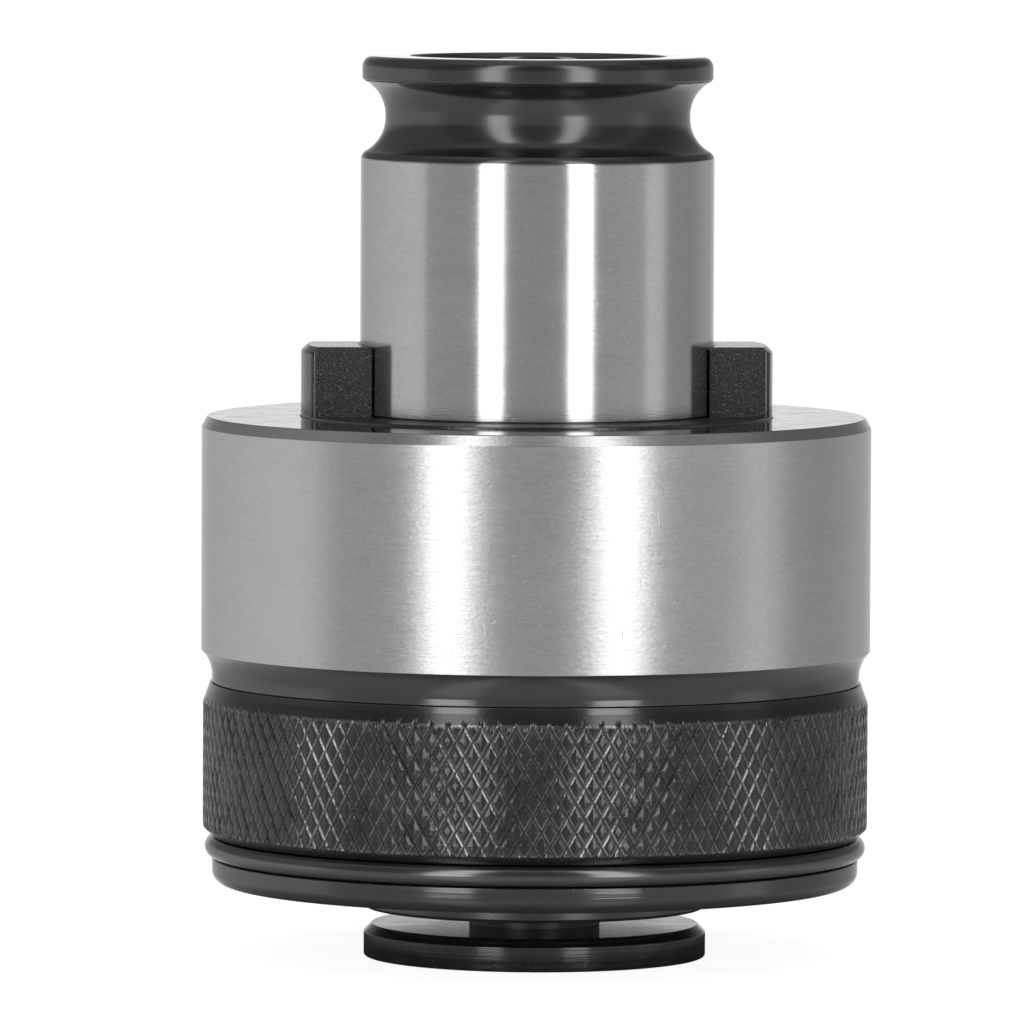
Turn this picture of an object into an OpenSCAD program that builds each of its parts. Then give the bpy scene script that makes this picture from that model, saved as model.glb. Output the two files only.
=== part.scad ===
// Quick-change tapping head with an adjustable overload clutch.
// The hollow shank points up (+Z), the tap goes into the nose from below, and the release ring's
// lower face is z = 0. All sizes are in millimetres.

/* [Shank] */
// Diameter of the ground shank
shank_d = 30; // [28:0.5:36]
// Length of the shank above the flange
shank_len = 30.55; // [28:0.05:40]
// Wall of the hollow shank
shank_wall = 4.5; // [4:0.1:6]
// Radius of the ball groove near the shank's top
groove_r = 3.2; // [2.6:0.1:4]
// Depth of the ball groove below the shank's surface
groove_depth = 2.08; // [1.5:0.01:2.5]
// Distance from the shank's top face down to the middle of the ball groove
groove_drop = 5; // [4.6:0.05:7]
// How much smaller the rim above the groove is, on the radius
rim_inset = 0.13; // [0:0.01:0.5]
// Wall of the bronze bush in the shank
bush_wall = 1.47; // [1:0.01:2]
// Length of the bronze bush
bush_len = 20; // [12:0.5:22]

/* [Drive dogs] */
// Width of a drive dog
dog_w = 10.2; // [8:0.1:13]
// Height of a drive dog above its ring
dog_h = 5.9; // [4:0.05:8]
// Radial width of the dog ring
dog_ring_w = 5; // [4:0.1:6]
// Thickness of the dog ring
dog_ring_t = 3.2; // [2:0.1:4]
// Height of the dog ring above the flange
dog_ring_proud = 0.2; // [0:0.05:0.5]
// Room between a dog and the shank for a sleeve to pass
dog_clear = 0.55; // [0.53:0.01:1]
// Diameter of the dowels under the dog ring
dowel_d = 3; // [2:0.1:4]

/* [Housing] */
// Diameter of the ground band
band_d = 56.8; // [54:0.1:64]
// Metal between the thrust race and the flange's top
web_t = 6.25; // [5.5:0.05:9]
// Step from the band down to the neck, on the radius
neck_step = 0.9; // [0.5:0.05:1.5]
// Height of the straight neck above the nut
neck_h = 0.95; // [0.5:0.05:2]
// Radius of the hollow between the neck and the band
neck_fillet = 3.2; // [2:0.1:4]
// Wall of the threaded skirt
skirt_wall = 3; // [2.5:0.1:4]
// Number of locking notches around the skirt
notch_count = 12; // [6:1:24]

/* [Adjusting nut] */
// Height of the adjusting nut
nut_h = 16.65; // [15:0.05:19]
// Wall of the nut outside its thread
nut_wall = 2.65; // [2.2:0.05:3.5]
// How much smaller the knurl is than the ground band, on the radius
nut_inset = 0.15; // [0:0.05:0.6]
// Thickness of the nut's floor
nut_floor_t = 2.05; // [1.2:0.05:2.5]
// Step from the knurl in to the lip below the lock ring, on the radius
lip_inset = 0.8; // [0.4:0.05:1.2]
// Height of the lip below the lock ring
lip_h = 2.17; // [1.2:0.01:2.5]
// Diameter of the lock ring's wire
lock_wire_d = 1.8; // [1.2:0.1:2]
// Gap between the two ends of the lock ring
lock_gap = 5; // [2:0.5:12]
// How far the nut can be screwed down to ease the springs
nut_travel = 0.5; // [0.3:0.05:0.7]

/* [Overload clutch] */
// Diameter of a drive ball
drive_ball_d = 7; // [6:0.1:8]
// Number of drive balls
drive_ball_count = 6; // [3:1:6]
// How far a drive ball sits in the spindle's pocket
ball_bite = 1.2; // [0.8:0.05:1.5]
// Thickness of the pressure ring
pressure_ring_t = 3.8; // [3:0.1:6]
// Thickness of one disc spring
disc_t = 1.5; // [1:0.05:2]
// Height of one disc spring as it is loaded
disc_h = 2.475; // [2.2:0.025:3]
// Thickness of the spring seat washer
seat_t = 2.4; // [1.5:0.1:3]
// Diameter of a thrust ball
thrust_ball_d = 3.5; // [3:0.1:4.5]
// Thickness of the thrust race
thrust_race_t = 2.3; // [1.5:0.1:3]
// Thickness of the thrust cage
thrust_cage_t = 1; // [0.6:0.1:1.3]
// Diameter of a carrier key
key_d = 3; // [2:0.1:4]
// Number of carrier keys
key_count = 3; // [2:1:3]
// Thickness of the snap ring under the ball carrier
snap_t = 0.9; // [0.6:0.1:0.9]

/* [Spindle] */
// Diameter of the spindle's hub
hub_d = 20; // [18:0.2:22]
// Wall of the hub around the release sleeve
hub_wall = 1.9; // [1.5:0.1:2.4]
// Thickness of the spindle's flange
flange_t = 5; // [4:0.1:7]
// Diameter of the hole through the spindle
spindle_bore_d = 7; // [6.8:0.1:10]
// Length of the journal above its circlip
journal_end = 3.9; // [1:0.1:5]
// Thickness of the washer on the journal
washer_t = 1; // [0.6:0.1:1.5]
// Thickness of the circlip on the journal
circlip_t = 1; // [0.8:0.1:1.4]
// Wall of the collar outside the hub
collar_wall = 4.5; // [3.5:0.1:6]
// Thickness of the collar's lip, which holds the release sleeve
collar_lip = 1.5; // [1:0.1:2]
// How far the collar stands out below the nut
collar_proud = 2.05; // [1.6:0.01:3]

/* [Tap holder] */
// Diameter of the tap's shank
tap_d = 6.3; // [5.5:0.1:7]
// Width across the tap's square
tap_square = 5; // [4:0.1:5.6]
// Length of the tap's square
tap_square_len = 8.5; // [6:0.1:10]
// Wall of the nose around the tap
nose_wall = 1.35; // [1.1:0.05:1.6]
// Diameter of a locking ball
lock_ball_d = 2.4; // [2:0.05:2.6]
// Number of locking balls that the nose takes
lock_ball_count = 3; // [3:1:3]
// Slope of the cone that presses the locking balls in
lock_slope = 0.4; // [0.3:0.05:0.5]
// Diameter of the pin that holds the tap bush
bush_pin_d = 2; // [1.5:0.1:3]

/* [Release ring] */
// Diameter of the release ring
release_ring_d = 29.06; // [26:0.02:34]
// Thickness of the release ring
release_ring_t = 2.77; // [2:0.01:4]
// Travel of the release ring
release_travel = 1.2; // [0.8:0.1:1.6]
// Wall of the release sleeve's neck
sleeve_neck_wall = 1; // [0.7:0.05:1.4]
// Length of the release spring at rest
release_spring_len = 5.5; // [5:0.1:8]
// Diameter of the release spring's wire
release_wire_d = 1; // [0.7:0.05:1.1]
// Number of turns of the release spring
release_turns = 3; // [2:0.5:3]

/* [Clearances] */
// Radial clearance of a turning or sliding fit
run_clear = 0.05; // [0.02:0.01:0.08]
// Radial clearance of the journal in its bush
journal_clear = 0.03; // [0.02:0.01:0.06]
// Gap between faces that rest on each other and move apart
seat_gap = 0.02; // [0.01:0.01:0.05]
// Gap at the parting line between the nut and the neck
part_gap = 0.05; // [0.03:0.01:0.3]
// Room around the hub and inside the cup
room = 0.4; // [0.3:0.05:0.6]
// Gap left under the collar when the release ring is pushed home
push_gap = 0.18; // [0.05:0.01:0.3]
// Small step of a relief, a seat or a shallow groove
relief = 0.2; // [0.1:0.05:0.3]

/* [Hidden] */
$fn = 96;
eps = 0.01;

// Radii, from the outside in
shank_r = shank_d / 2;
shank_bore_r = shank_r - shank_wall;
journal_r = shank_bore_r - bush_wall - journal_clear;
relief_r = shank_r - relief;
dog_ring_in_r = relief_r + run_clear;
dog_ring_out_r = shank_r + dog_ring_w;
dog_in_r = shank_r + dog_clear;
band_r = band_d / 2;
neck_r = band_r - neck_step;
knurl_r = band_r - nut_inset;
lip_r = knurl_r - lip_inset;
nut_bore_r = knurl_r - nut_wall;
skirt_r = nut_bore_r - run_clear;
cup_r = skirt_r - skirt_wall;
upper_cup_r = cup_r - snap_t;
flange_r = upper_cup_r - 0.6;
hub_r = hub_d / 2;
hub_bore_r = hub_r - hub_wall;
inner_r = hub_r + room;
carrier_r = cup_r - 0.1;
plate_r = cup_r - 0.7;
disc_out_r = cup_r - 2.5;
ball_circle_r = (hub_r + cup_r) / 2;
drive_ball_r = drive_ball_d / 2;
pocket_r = drive_ball_r + run_clear;
thrust_ball_r = thrust_ball_d / 2;
thrust_groove_r = thrust_ball_r + run_clear;
collar_r = hub_r + collar_wall;
nut_hole_r = collar_r + room;
tap_r = tap_d / 2;
nose_r = tap_r + nose_wall;
sleeve_bore_r = nose_r + run_clear;
sleeve_neck_r = sleeve_bore_r + sleeve_neck_wall;
spigot_r = sleeve_neck_r - 0.35;
barrel_r = hub_bore_r - run_clear;
release_ring_r = release_ring_d / 2;
release_coil_r = (nose_r + hub_bore_r) / 2;

// Locking balls: at rest their inner points are just outside the tap's bore
lock_ball_r = lock_ball_d / 2;
lock_center_r = tap_r + seat_gap + lock_ball_r;
lock_travel = release_travel * lock_slope;
cone_at_ball_r = lock_center_r + (lock_ball_r + seat_gap) * sqrt(1 + lock_slope * lock_slope);
recess_r = lock_center_r + lock_travel + lock_ball_r + 0.48;

// Heights of the release ring, the sleeve and the tap bush
release_ring_top = release_ring_t;
collar_bottom = release_ring_top + release_travel + push_gap;
hub_bottom = collar_bottom + collar_lip;
barrel_bottom = hub_bottom + seat_gap;
ledge_z = barrel_bottom + 1.45;
lock_z = ledge_z + release_travel + lock_ball_r + 0.3;
cone_bottom = lock_z - (recess_r - cone_at_ball_r) / lock_slope;
cone_top = lock_z + (cone_at_ball_r - sleeve_bore_r) / lock_slope;
barrel_top = cone_top + 1.65;
tap_bush_bottom = barrel_top + release_spring_len;
tap_bush_top = tap_bush_bottom + tap_square_len;
nose_bottom = 0.9;
tap_bore_top = tap_bush_bottom + 0.4;

// Heights of the nut and the clutch, from the nut's floor up
nut_bottom = collar_bottom + collar_proud;
nut_floor = nut_bottom + nut_floor_t;
nut_top = nut_bottom + nut_h;
lip_top = nut_bottom + lip_h;
lock_groove_top = lip_top + lock_wire_d + 0.14;
lock_ring_z = (lip_top + lock_groove_top) / 2;
lock_ring_r = knurl_r - relief - lock_wire_d / 2;
lock_groove_r = lock_ring_r - lock_wire_d / 2;
skirt_bottom = nut_floor + 0.3;
seat_bottom = nut_floor + seat_gap;
seat_top = seat_bottom + seat_t;
collar_top = seat_bottom - nut_travel - room;
disc_stack_top = seat_top + 4 * disc_h;
pressure_ring_top = disc_stack_top + pressure_ring_t;
drive_ball_z = pressure_ring_top + drive_ball_r - room;
spindle_flange_bottom = drive_ball_z + drive_ball_r - ball_bite;
spindle_flange_top = spindle_flange_bottom + flange_t;
carrier_top = spindle_flange_bottom - room;
snap_bottom = pressure_ring_top + run_clear;
snap_top = snap_bottom + snap_t;
carrier_bottom = snap_top;
thrust_ball_z = spindle_flange_top + thrust_ball_r - 0.5;
thrust_race_bottom = thrust_ball_z + thrust_ball_r - room;
ceiling_z = thrust_race_bottom + thrust_race_t;

// Heights of the housing and the shank
shoulder_z = nut_top + part_gap;
neck_top = shoulder_z + neck_h;
flange_top = ceiling_z + web_t;
shank_top = flange_top + shank_len;
groove_z = shank_top - groove_drop;
shoulder_edge = 0.5;
groove_half = sqrt(pow(groove_r, 2) - pow(groove_r - groove_depth, 2));
ground_top = groove_z - groove_half - shoulder_edge;
dog_ring_top = flange_top + dog_ring_proud;
dog_ring_bottom = dog_ring_top - dog_ring_t;
dog_top = dog_ring_top + dog_h;
relief_top = dog_ring_top + 0.1;
dowel_bottom = dog_ring_bottom - 1.6;
dowel_top = dog_ring_top - 0.8;
dowel_circle_r = (dog_ring_in_r + dog_ring_out_r) / 2;
bush_bottom = ceiling_z + 0.5;
bush_top = bush_bottom + bush_len;
washer_bottom = bush_top + run_clear;
washer_top = washer_bottom + washer_t;
circlip_bottom = washer_top + seat_gap;
circlip_top = circlip_bottom + circlip_t;
circlip_groove_r = journal_r - 0.6;
journal_top = circlip_top + journal_end;

// Counts and turns that follow the ball circle
pocket_count = 2 * drive_ball_count;
thrust_ball_count = floor(2 * PI * ball_circle_r / (1.45 * thrust_ball_d));
lock_tang_angle = 90;
key_turn = lock_tang_angle + 180 / notch_count;
notch_depth = 1.2;

// A plain ring between two radii and two heights
module tube(outer, inner, bottom, top) {
    difference() {
        translate([0, 0, bottom]) cylinder(r = outer, h = top - bottom);
        translate([0, 0, bottom - 1]) cylinder(r = inner, h = top - bottom + 2);
    }
}

// A solid of revolution from a list of [radius, height] points
module lathe(points) {
    rotate_extrude() polygon(points);
}

// Points of an arc in a lathe's profile, from one angle to another
function arc(center_r, center_z, r, from, to, steps = 6) = [
    for (i = [0 : steps])
        let (a = from + (to - from) * i / steps)
        [center_r + r * cos(a), center_z + r * sin(a)]
];

// A round groove or bead that runs around the axis
module torus(circle_r, z, r) {
    rotate_extrude() translate([circle_r, z]) circle(r = r);
}

// Copies its children evenly around the axis
module around(count, start = 0) {
    for (i = [0 : count - 1]) {
        rotate([0, 0, start + i * 360 / count]) children();
    }
}

// A radial rod between two radii, at one height
module radial_rod(r, from_r, to_r, z) {
    translate([from_r, 0, z]) rotate([0, 90, 0]) cylinder(r = r, h = to_r - from_r);
}

// An open spring ring: a tube with a gap, and a drilled lug on each side of it
module open_ring(outer, inner, bottom, top, gap, lug_r, lug_circle_r) {
    lug_turn = asin((gap / 2 + lug_r) / lug_circle_r);
    difference() {
        union() {
            tube(outer, inner, bottom, top);
            for (side = [-1, 1]) {
                rotate([0, 0, side * lug_turn]) translate([lug_circle_r, 0, bottom])
                    cylinder(r = lug_r, h = top - bottom);
            }
        }
        translate([inner / 2, -gap / 2, bottom - 1]) cube([outer, gap, top - bottom + 2]);
        for (side = [-1, 1]) {
            rotate([0, 0, side * lug_turn]) translate([lug_circle_r, 0, bottom - 1])
                cylinder(r = lug_r / 2.2, h = top - bottom + 2);
        }
    }
}

// Shank, flange and threaded skirt in one turned piece, bored for the bush and the clutch
module clutch_housing() {
    edge = 0.4;
    band_chamfer_r = 0.5;
    band_chamfer_h = 0.9;
    rim_round = 0.95;
    color("silver") difference() {
        lathe([
            [0, skirt_bottom],
            [skirt_r - edge, skirt_bottom],
            [skirt_r, skirt_bottom + edge],
            [skirt_r, shoulder_z],
            [neck_r - edge / 2, shoulder_z],
            [neck_r, shoulder_z + edge / 2],
            [neck_r, neck_top],
            [band_r, neck_top],
            [band_r, flange_top - band_chamfer_h],
            [band_r - band_chamfer_r, flange_top],
            [shank_r, flange_top],
            [shank_r, ground_top],
            [shank_r - shoulder_edge, ground_top + shoulder_edge],
            [shank_r - rim_inset, groove_z + groove_half],
            for (p = arc(shank_r - rim_inset - rim_round, shank_top - rim_round, rim_round, 0, 90)) p,
            [0, shank_top]
        ]);
        // ball groove, and the hollow that runs the neck into the band
        torus(shank_r - groove_depth + groove_r, groove_z, groove_r);
        torus(neck_r + neck_fillet, neck_top, neck_fillet);
        // recess for the dog ring, with an undercut at the foot of the shank
        tube(dog_ring_out_r + run_clear, relief_r, dog_ring_bottom, flange_top + 1);
        tube(shank_r + 1, relief_r, flange_top - 1, relief_top);
        around(2, 90) translate([dowel_circle_r, 0, dowel_bottom])
            cylinder(d = dowel_d, h = flange_top - dowel_bottom);
        // bore of the shank and the two steps of the cup
        translate([0, 0, ceiling_z - 1]) cylinder(r = shank_bore_r, h = shank_top);
        translate([0, 0, shank_top - edge])
            cylinder(r1 = shank_bore_r, r2 = shank_bore_r + 2 * edge, h = 2 * edge);
        translate([0, 0, skirt_bottom - 1]) cylinder(r = upper_cup_r, h = ceiling_z - skirt_bottom + 1);
        translate([0, 0, skirt_bottom - 1]) cylinder(r = cup_r, h = carrier_top - skirt_bottom + 1);
        // groove of the snap ring, key ways and locking notches
        tube(cup_r + 0.8, cup_r - 1, snap_bottom, snap_top);
        around(key_count, key_turn) translate([cup_r, 0, skirt_bottom - 1])
            cylinder(d = key_d, h = carrier_top + room - skirt_bottom + 1);
        around(notch_count, lock_tang_angle)
            translate([skirt_r - notch_depth, -lock_wire_d / 2 - 0.1, skirt_bottom - 1])
            cube([skirt_wall, lock_wire_d + 0.2, lock_groove_top - skirt_bottom + 1]);
    }
}

// Cast ring with the two driving dogs
module drive_dog_ring() {
    edge = 0.55;
    color("dimgray") difference() {
        union() {
            tube(dog_ring_out_r, dog_ring_in_r, dog_ring_bottom, dog_ring_top);
            intersection() {
                lathe([
                    [dog_in_r, dog_ring_top - 1],
                    [dog_ring_out_r, dog_ring_top - 1],
                    [dog_ring_out_r, dog_top - edge],
                    [dog_ring_out_r - edge, dog_top],
                    [dog_in_r, dog_top]
                ]);
                translate([-band_r, -dog_w / 2, dog_ring_top - 1]) cube([band_d, dog_w, dog_h + 2]);
            }
        }
        around(2, 90) translate([dowel_circle_r, 0, dog_ring_bottom - 1])
            cylinder(d = dowel_d, h = dowel_top - dog_ring_bottom + 1);
    }
}

// Dowels that key the dog ring to the housing
module dog_ring_dowels() {
    color("lightgray") around(2, 90) translate([dowel_circle_r, 0, dowel_bottom])
        cylinder(d = dowel_d, h = dowel_top - dowel_bottom);
}

// Bronze bush that the spindle's journal turns in
module shank_bush() {
    color("peru") tube(shank_bore_r, journal_r + journal_clear, bush_bottom, bush_top);
}

// Hardened race against the ceiling of the cup
module thrust_race() {
    color("lightgray") difference() {
        tube(upper_cup_r - 0.1, shank_bore_r + 0.5, thrust_race_bottom, ceiling_z);
        torus(ball_circle_r, thrust_ball_z, thrust_groove_r);
    }
}

// Flat cage that spaces the thrust balls
module thrust_cage() {
    cage_half = thrust_ball_r + 1.4;
    color("goldenrod") difference() {
        tube(ball_circle_r + cage_half, ball_circle_r - cage_half,
            thrust_ball_z - thrust_cage_t / 2, thrust_ball_z + thrust_cage_t / 2);
        around(thrust_ball_count) translate([ball_circle_r, 0, thrust_ball_z - thrust_cage_t])
            cylinder(r = thrust_ball_r + 0.1, h = 2 * thrust_cage_t);
    }
}

module thrust_balls() {
    color("gainsboro") around(thrust_ball_count) translate([ball_circle_r, 0, thrust_ball_z])
        sphere(r = thrust_ball_r);
}

// Plate that holds the drive balls round and lets them move along the axis
module ball_carrier() {
    color("slategray") difference() {
        tube(carrier_r, inner_r, carrier_bottom, carrier_top);
        around(drive_ball_count) translate([ball_circle_r, 0, carrier_bottom - 1])
            cylinder(r = pocket_r, h = carrier_top - carrier_bottom + 2);
        around(key_count, key_turn) translate([cup_r, 0, carrier_bottom - 1])
            cylinder(d = key_d, h = carrier_top - carrier_bottom + 2);
    }
}

// Round keys, half in the carrier and half in the housing
module carrier_keys() {
    color("lightgray") around(key_count, key_turn) translate([cup_r, 0, carrier_bottom])
        cylinder(d = key_d, h = carrier_top - carrier_bottom);
}

// Snap ring in the cup's groove, under the carrier and its keys
module carrier_snap_ring() {
    lug_r = 1;
    color("gray") rotate([0, 0, 90])
        open_ring(cup_r + 0.7, cup_r - 1.2, snap_bottom, snap_top, 4, lug_r, cup_r - 1.2);
}

module drive_balls() {
    color("gainsboro") around(drive_ball_count) translate([ball_circle_r, 0, drive_ball_z])
        sphere(r = drive_ball_r);
}

// Ring that carries the springs' load to the drive balls
module pressure_ring() {
    color("slategray") difference() {
        tube(plate_r, inner_r, disc_stack_top, pressure_ring_top);
        torus(ball_circle_r, drive_ball_z, pocket_r);
    }
}

// One conical disc spring of the stack. Odd ones rest on their outer edge, even ones on their inner edge
module disc_spring(index) {
    bottom = seat_top + (index - 1) * disc_h + seat_gap;
    rise = disc_h - disc_t - 2 * seat_gap;
    inner_z = bottom + (index % 2 == 1 ? rise : 0);
    outer_z = bottom + (index % 2 == 1 ? 0 : rise);
    color("darkslategray") lathe([
        [inner_r, inner_z],
        [disc_out_r, outer_z],
        [disc_out_r, outer_z + disc_t],
        [inner_r, inner_z + disc_t]
    ]);
}

// Washer between the disc springs and the nut's floor
module seat_washer() {
    color("gray") tube(plate_r, inner_r, seat_bottom, seat_top);
}

// Knurled nut that sets the springs' load, screwed on the skirt
module adjusting_nut() {
    top_round = 1.6;
    knurl_chamfer = 0.78;
    knurl_bottom = lock_groove_top + knurl_chamfer;
    lip_round = 1.1;
    color([0.13, 0.13, 0.14]) difference() {
        lathe([
            [0, nut_bottom],
            for (p = arc(lip_r - lip_round, nut_bottom + lip_round, lip_round, -90, 0)) p,
            [lip_r, lip_top],
            [lock_groove_r, lip_top],
            [lock_groove_r, lock_groove_top],
            [knurl_r - knurl_chamfer, lock_groove_top],
            [knurl_r, knurl_bottom],
            for (p = arc(knurl_r - top_round, nut_top - top_round, top_round, 0, 90)) p,
            [0, nut_top]
        ]);
        translate([0, 0, nut_floor]) cylinder(r = nut_bore_r, h = nut_h);
        translate([0, 0, nut_bottom - 1]) cylinder(r = nut_hole_r, h = nut_h);
        rotate([0, 0, lock_tang_angle])
            radial_rod(lock_wire_d / 2 + 0.1, nut_bore_r - 1, knurl_r, lock_ring_z);
    }
}

// Wire ring in the nut's groove, with one end turned in to lock the nut
module lock_ring() {
    wire_r = lock_wire_d / 2;
    gap_turn = lock_gap / lock_ring_r * 180 / PI;
    end_turn = wire_r / lock_ring_r * 180 / PI;
    tang_end_r = nut_bore_r + run_clear;
    color([0.1, 0.1, 0.11]) rotate([0, 0, lock_tang_angle]) {
        rotate([0, 0, -end_turn]) rotate_extrude(angle = 360 - gap_turn)
            translate([lock_ring_r + seat_gap, lock_ring_z]) circle(r = wire_r);
        radial_rod(wire_r - run_clear, tang_end_r, lock_ring_r, lock_ring_z);
    }
}

// Spindle: journal above, pocketed clutch flange, and a hollow hub below
module clutch_spindle() {
    edge = 0.5;
    color("gray") difference() {
        lathe([
            [0, hub_bottom],
            [hub_r, hub_bottom],
            [hub_r, spindle_flange_bottom],
            [flange_r, spindle_flange_bottom],
            [flange_r, spindle_flange_top - edge],
            [flange_r - edge, spindle_flange_top],
            [journal_r, spindle_flange_top],
            [journal_r, circlip_bottom],
            [circlip_groove_r, circlip_bottom],
            [circlip_groove_r, circlip_top + seat_gap],
            [journal_r, circlip_top + seat_gap],
            [journal_r, journal_top - edge],
            [journal_r - edge, journal_top],
            [0, journal_top]
        ]);
        translate([0, 0, hub_bottom - 1]) cylinder(r = hub_bore_r, h = tap_bush_top - hub_bottom + 1);
        translate([0, 0, hub_bottom]) cylinder(d = spindle_bore_d, h = shank_top);
        around(pocket_count) translate([ball_circle_r, 0, drive_ball_z]) sphere(r = pocket_r);
        torus(ball_circle_r, thrust_ball_z, thrust_groove_r);
        radial_rod(bush_pin_d / 2, hub_r / 2, hub_r + 1, tap_bush_bottom + tap_square_len / 2);
    }
}

// Bush with the tap's square, and the nose that holds the locking balls
module tap_bush() {
    mouth = 0.5;
    color("darkgray") difference() {
        union() {
            translate([0, 0, tap_bush_bottom]) cylinder(r = hub_bore_r, h = tap_square_len);
            translate([0, 0, nose_bottom]) cylinder(r = nose_r, h = tap_bush_bottom - nose_bottom + 1);
        }
        translate([0, 0, nose_bottom - 1]) cylinder(r = tap_r, h = tap_bore_top - nose_bottom + 1);
        translate([0, 0, nose_bottom - eps])
            cylinder(r1 = tap_r + mouth, r2 = tap_r, h = mouth);
        translate([-tap_square / 2, -tap_square / 2, tap_bush_bottom])
            cube([tap_square, tap_square, tap_square_len + 1]);
        around(lock_ball_count, 90) radial_rod(lock_ball_r + run_clear, tap_r / 2, nose_r + 1, lock_z);
        radial_rod(bush_pin_d / 2, tap_square / 2 + 2, hub_r + 1, tap_bush_bottom + tap_square_len / 2);
    }
}

// Pin that keeps the tap bush from turning in the hub
module bush_pin() {
    color("lightgray")
        radial_rod(bush_pin_d / 2, tap_square / 2 + 2, hub_r, tap_bush_bottom + tap_square_len / 2);
}

// Collar screwed on the hub, whose lip holds the release sleeve
module spindle_collar() {
    edge = 0.3;
    color([0.12, 0.12, 0.13]) difference() {
        lathe([
            [sleeve_neck_r + 4 * run_clear, collar_bottom],
            [collar_r - edge, collar_bottom],
            [collar_r, collar_bottom + edge],
            [collar_r, collar_top - edge],
            [collar_r - edge, collar_top],
            [sleeve_neck_r + 4 * run_clear, collar_top]
        ]);
        translate([0, 0, hub_bottom]) cylinder(r = hub_r, h = collar_top);
    }
}

module journal_washer() {
    color("lightgray") tube(shank_bore_r - 0.1, journal_r + run_clear, washer_bottom, washer_top);
}

// Circlip in the journal's groove, which holds the spindle up in the housing
module journal_circlip() {
    color("gray") open_ring(journal_r + 1, circlip_groove_r + seat_gap, circlip_bottom + seat_gap / 2,
        circlip_top + seat_gap / 2, 3, 0.7, journal_r + 0.6);
}

// Sleeve that slides on the nose. Its cone presses the locking balls in
module release_sleeve() {
    spigot_bottom = 0.3;
    color([0.2, 0.2, 0.21]) lathe([
        [sleeve_bore_r, spigot_bottom],
        [spigot_r, spigot_bottom],
        [spigot_r, release_ring_top],
        [sleeve_neck_r, release_ring_top],
        [sleeve_neck_r, barrel_bottom],
        [barrel_r, barrel_bottom],
        [barrel_r, barrel_top],
        [sleeve_bore_r, barrel_top],
        [sleeve_bore_r, cone_top],
        [recess_r, cone_bottom],
        [recess_r, ledge_z],
        [sleeve_bore_r, ledge_z]
    ]);
}

// Disc that is pushed up to let the tap go
module release_ring() {
    top_edge = 0.68;
    bottom_edge = 0.2;
    color([0.12, 0.12, 0.13]) lathe([
        [spigot_r, 0],
        [release_ring_r - bottom_edge, 0],
        [release_ring_r, bottom_edge],
        [release_ring_r, release_ring_top - top_edge],
        [release_ring_r - top_edge, release_ring_top],
        [spigot_r, release_ring_top]
    ]);
}

// Coil spring between the release sleeve and the tap bush: rings of points along a helix
module release_spring() {
    sides = 8;
    steps_per_turn = 20;
    wire_r = release_wire_d / 2;
    low = barrel_top + wire_r + seat_gap;
    high = tap_bush_bottom - wire_r - seat_gap;
    steps = release_turns * steps_per_turn;
    points = [
        for (i = [0 : steps], j = [0 : sides - 1])
            let (turn = 360 * i / steps_per_turn, a = 360 * j / sides)
            let (r = release_coil_r + wire_r * cos(a), z = low + (high - low) * i / steps + wire_r * sin(a))
            [r * cos(turn), r * sin(turn), z]
    ];
    walls = [
        for (i = [0 : steps - 1], j = [0 : sides - 1])
            let (k = (j + 1) % sides)
            [i * sides + j, i * sides + k, (i + 1) * sides + k, (i + 1) * sides + j]
    ];
    ends = [
        [for (j = [sides - 1 : -1 : 0]) j],
        [for (j = [0 : sides - 1]) steps * sides + j]
    ];
    color("lightgray") polyhedron(points, concat(walls, ends));
}

// One locking ball, by its place around the nose
module lock_ball(index) {
    color("gainsboro") rotate([0, 0, 90 + (index - 1) * 360 / lock_ball_count])
        translate([lock_center_r, 0, lock_z]) sphere(r = lock_ball_r);
}

clutch_housing();
drive_dog_ring();
dog_ring_dowels();
shank_bush();
thrust_race();
thrust_cage();
thrust_balls();
ball_carrier();
carrier_keys();
carrier_snap_ring();
drive_balls();
pressure_ring();
disc_spring(1);  // disc_spring_1
disc_spring(2);  // disc_spring_2
disc_spring(3);  // disc_spring_3
disc_spring(4);  // disc_spring_4
seat_washer();
adjusting_nut();
lock_ring();
clutch_spindle();
tap_bush();
bush_pin();
spindle_collar();
journal_washer();
journal_circlip();
release_sleeve();
release_ring();
release_spring();
lock_ball(1);  // lock_ball_1
lock_ball(2);  // lock_ball_2
lock_ball(3);  // lock_ball_3
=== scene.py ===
"""Looks of a quick-change tapping head: a ground shank and band on a black turned housing, two cast drive
dogs, a knurled adjusting nut with its wire lock ring, and the collar and release ring below. Meshes are
worked out in millimetres and written in metres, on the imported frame."""
import math
from collections import namedtuple

import bpy
import numpy as np
from mathutils import Matrix, Vector


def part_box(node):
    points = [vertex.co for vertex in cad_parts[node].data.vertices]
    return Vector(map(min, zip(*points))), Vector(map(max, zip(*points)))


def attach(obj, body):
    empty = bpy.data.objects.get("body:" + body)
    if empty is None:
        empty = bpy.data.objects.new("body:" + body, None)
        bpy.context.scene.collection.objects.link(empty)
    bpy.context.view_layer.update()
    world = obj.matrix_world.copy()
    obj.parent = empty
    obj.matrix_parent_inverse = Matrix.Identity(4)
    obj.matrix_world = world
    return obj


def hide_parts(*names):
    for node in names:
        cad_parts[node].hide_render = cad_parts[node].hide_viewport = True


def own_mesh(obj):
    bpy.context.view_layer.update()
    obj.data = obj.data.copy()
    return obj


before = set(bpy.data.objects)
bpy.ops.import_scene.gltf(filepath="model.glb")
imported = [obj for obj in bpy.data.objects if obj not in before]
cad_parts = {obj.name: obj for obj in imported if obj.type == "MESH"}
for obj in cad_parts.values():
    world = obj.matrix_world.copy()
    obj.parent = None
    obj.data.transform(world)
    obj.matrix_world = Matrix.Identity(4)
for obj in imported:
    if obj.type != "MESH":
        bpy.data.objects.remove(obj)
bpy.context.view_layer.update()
MM = 0.001


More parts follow.
